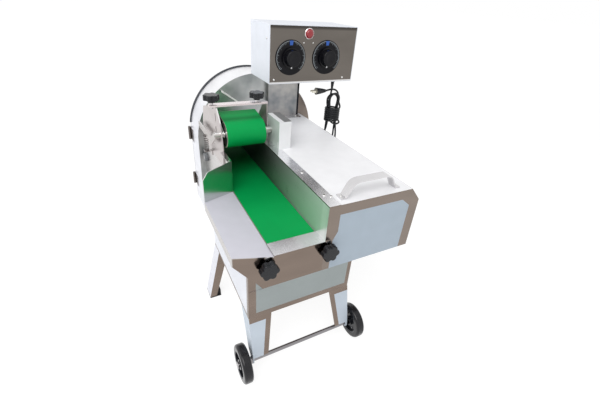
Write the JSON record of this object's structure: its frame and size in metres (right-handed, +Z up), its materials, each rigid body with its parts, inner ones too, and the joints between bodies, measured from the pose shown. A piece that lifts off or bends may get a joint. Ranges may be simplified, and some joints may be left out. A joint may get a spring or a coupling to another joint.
{
  "type": "vegetable cutting machine",
  "caption": "Wheeled floor-standing vegetable cutter: a feed belt and a sprung presser belt lead to a bladed disc in an arched housing, with a control box on a column.",
  "frame": {"origin": "on the floor under the middle of the machine, cord left out", "axes": "+Z up, +Y along the feed towards the knife housing, +X to the motor housing's side"},
  "size_m": [0.5293, 0.7994, 0.716],
  "materials": {
    "stainless": "satin sheet",
    "coated": "pale smooth coat",
    "bright_steel": "polished",
    "dark_steel": "dull, oiled",
    "aluminium": "turned",
    "castings": "cast",
    "green_belt": "satin belt cover",
    "black_plastic": "moulded",
    "dial_black": "satin",
    "lamp_red": "clear red",
    "black_rubber": "matt",
    "wheel_rubber": "satin",
    "cord_black": "satin"
  },
  "bodies": {
    "machine": {"base_cabinet": "stainless", "front_legs": "stainless", "rear_legs": "stainless", "rubber_feet": "black_rubber", "wheel_axle": "bright_steel", "trough_frame": "stainless", "front_panel": "stainless", "side_shelf": "stainless", "guide_plate": "stainless", "roller_cover": "stainless", "feed_belt": "green_belt", "belt_bed": "stainless", "bearings": "castings", "presser_spring": "dark_steel", "presser_stands": "stainless", "crossbar": "stainless", "motor_housing": "stainless", "housing_cover": "stainless", "chain_cover": "stainless", "feed_gear_motor": "aluminium", "chains": "dark_steel", "carry_handle": "bright_steel", "knife_motor": "castings", "knife_plate": "stainless", "drum_rim": "stainless", "drum_gasket": "black_rubber", "column": "stainless", "control_box": "coated", "control_panel": "stainless", "dial_plates": "dial_black", "speed_regulators": "dial_black", "indicator_lamp": "lamp_red", "screws": "bright_steel", "cord_gland": "black_plastic", "power_cord": "cord_black", "cord_hank": "cord_black", "power_plug": "cord_black"},
    "wheel_left_body": {"wheel_left": "wheel_rubber"},
    "wheel_right_body": {"wheel_right": "wheel_rubber"},
    "front_roller_body": {"front_roller": "aluminium"},
    "rear_roller_body": {"rear_roller": "aluminium"},
    "belt_drive": {"belt_drive_sprocket": "dark_steel"},
    "presser_drive": {"presser_drive_sprocket": "dark_steel"},
    "presser_roller": {"presser_drive_roller": "aluminium"},
    "presser": {"presser_arms": "stainless", "presser_belt": "green_belt"},
    "idler": {"presser_idler_roller": "aluminium"},
    "nip": {"presser_nip_roller": "aluminium"},
    "knife": {"knife_disc": "aluminium", "slicing_blades": "bright_steel", "knife_shaft": "bright_steel"},
    "lid": {"drum_lid": "stainless"},
    "button_low": {"turn_button_low": "stainless"},
    "button_high": {"turn_button_high": "stainless"},
    "speed_left": {"speed_knob_left": "black_plastic"},
    "speed_right": {"speed_knob_right": "black_plastic"},
    "tension_left": {"tension_knob_left": "black_plastic"},
    "tension_right": {"tension_knob_right": "black_plastic"},
    "press_knob_left": {"presser_knob_left": "black_plastic"},
    "press_knob_right": {"presser_knob_right": "black_plastic"}
  },
  "joints": [
    {"name": "wheel_left_spin", "type": "hinge", "parent": "machine", "child": "wheel_left_body", "pos_m": [-0.24685, -0.35475, 0.045], "axis": [1, 0, 0], "continuous": true},
    {"name": "wheel_right_spin", "type": "hinge", "parent": "machine", "child": "wheel_right_body", "pos_m": [0.05715, -0.35475, 0.045], "axis": [1, 0, 0], "continuous": true},
    {"name": "rear_roller_spin", "type": "hinge", "parent": "machine", "child": "rear_roller_body", "pos_m": [-0.10985, 0.22325, 0.309], "axis": [1, 0, 0], "continuous": true},
    {"name": "front_roller_spin", "type": "hinge", "parent": "machine", "child": "front_roller_body", "pos_m": [-0.10985, -0.31275, 0.309], "axis": [1, 0, 0], "continuous": true},
    {"name": "belt_drive_spin", "type": "hinge", "parent": "machine", "child": "belt_drive", "pos_m": [-0.01985, 0.07025, 0.309], "axis": [1, 0, 0], "continuous": true},
    {"name": "presser_drive_spin", "type": "hinge", "parent": "machine", "child": "presser_drive", "pos_m": [-0.01985, 0.02525, 0.309], "axis": [1, 0, 0], "continuous": true},
    {"name": "presser_roller_spin", "type": "hinge", "parent": "machine", "child": "presser_roller", "pos_m": [-0.10985, 0.02525, 0.458], "axis": [1, 0, 0], "continuous": true},
    {"name": "presser_swing", "type": "hinge", "parent": "machine", "child": "presser", "pos_m": [-0.10985, 0.02525, 0.458], "axis": [1, 0, 0], "range_deg": [0, 14], "stiffness_Nm_per_rad": 6, "springref_deg": -11.46, "deforming": ["presser_spring"]},
    {"name": "idler_spin", "type": "hinge", "parent": "presser", "child": "idler", "pos_m": [-0.10985, 0.07825, 0.485], "axis": [1, 0, 0], "continuous": true},
    {"name": "nip_spin", "type": "hinge", "parent": "presser", "child": "nip", "pos_m": [-0.10985, 0.20825, 0.375], "axis": [1, 0, 0], "continuous": true},
    {"name": "knife_spin", "type": "hinge", "parent": "machine", "child": "knife", "pos_m": [0.01515, 0.25875, 0.359], "axis": [0, 1, 0], "continuous": true},
    {"name": "lid_swing", "type": "hinge", "parent": "machine", "child": "lid", "pos_m": [-0.19415, 0.364, 0.359], "axis": [0, 0, 1], "range_deg": [0, 150]},
    {"name": "button_low_turn", "type": "hinge", "parent": "machine", "child": "button_low", "pos_m": [0.23115, 0.36325, 0.263], "axis": [0, 1, 0], "range_deg": [-90, 0]},
    {"name": "button_high_turn", "type": "hinge", "parent": "machine", "child": "button_high", "pos_m": [0.23115, 0.36325, 0.363], "axis": [0, 1, 0], "range_deg": [-90, 0]},
    {"name": "speed_left_turn", "type": "hinge", "parent": "machine", "child": "speed_left", "pos_m": [0.05015, 0.08525, 0.635], "axis": [0, 1, 0], "range_deg": [0, 300]},
    {"name": "speed_right_turn", "type": "hinge", "parent": "machine", "child": "speed_right", "pos_m": [0.16415, 0.08525, 0.635], "axis": [0, 1, 0], "range_deg": [0, 300]},
    {"name": "tension_left_turn", "type": "hinge", "parent": "machine", "child": "tension_left", "pos_m": [-0.18535, -0.33675, 0.309], "axis": [0, 1, 0], "continuous": true},
    {"name": "tension_right_turn", "type": "hinge", "parent": "machine", "child": "tension_right", "pos_m": [-0.04235, -0.33675, 0.309], "axis": [0, 1, 0], "continuous": true},
    {"name": "press_knob_left_turn", "type": "hinge", "parent": "machine", "child": "press_knob_left", "pos_m": [-0.18185, 0.06055, 0.523], "axis": [0, 0, 1], "continuous": true},
    {"name": "press_knob_right_turn", "type": "hinge", "parent": "machine", "child": "press_knob_right", "pos_m": [-0.05785, 0.06055, 0.523], "axis": [0, 0, 1], "continuous": true}
  ],
  "couplings": [
    {"joint": "front_roller_spin", "follows": "rear_roller_spin", "ratio": 1},
    {"joint": "belt_drive_spin", "follows": "rear_roller_spin", "ratio": 1},
    {"joint": "presser_roller_spin", "follows": "rear_roller_spin", "ratio": -0.58209},
    {"joint": "presser_drive_spin", "follows": "rear_roller_spin", "ratio": -0.58209},
    {"joint": "idler_spin", "follows": "rear_roller_spin", "ratio": -1.2581},
    {"joint": "nip_spin", "follows": "rear_roller_spin", "ratio": -1.1818}
  ]
}
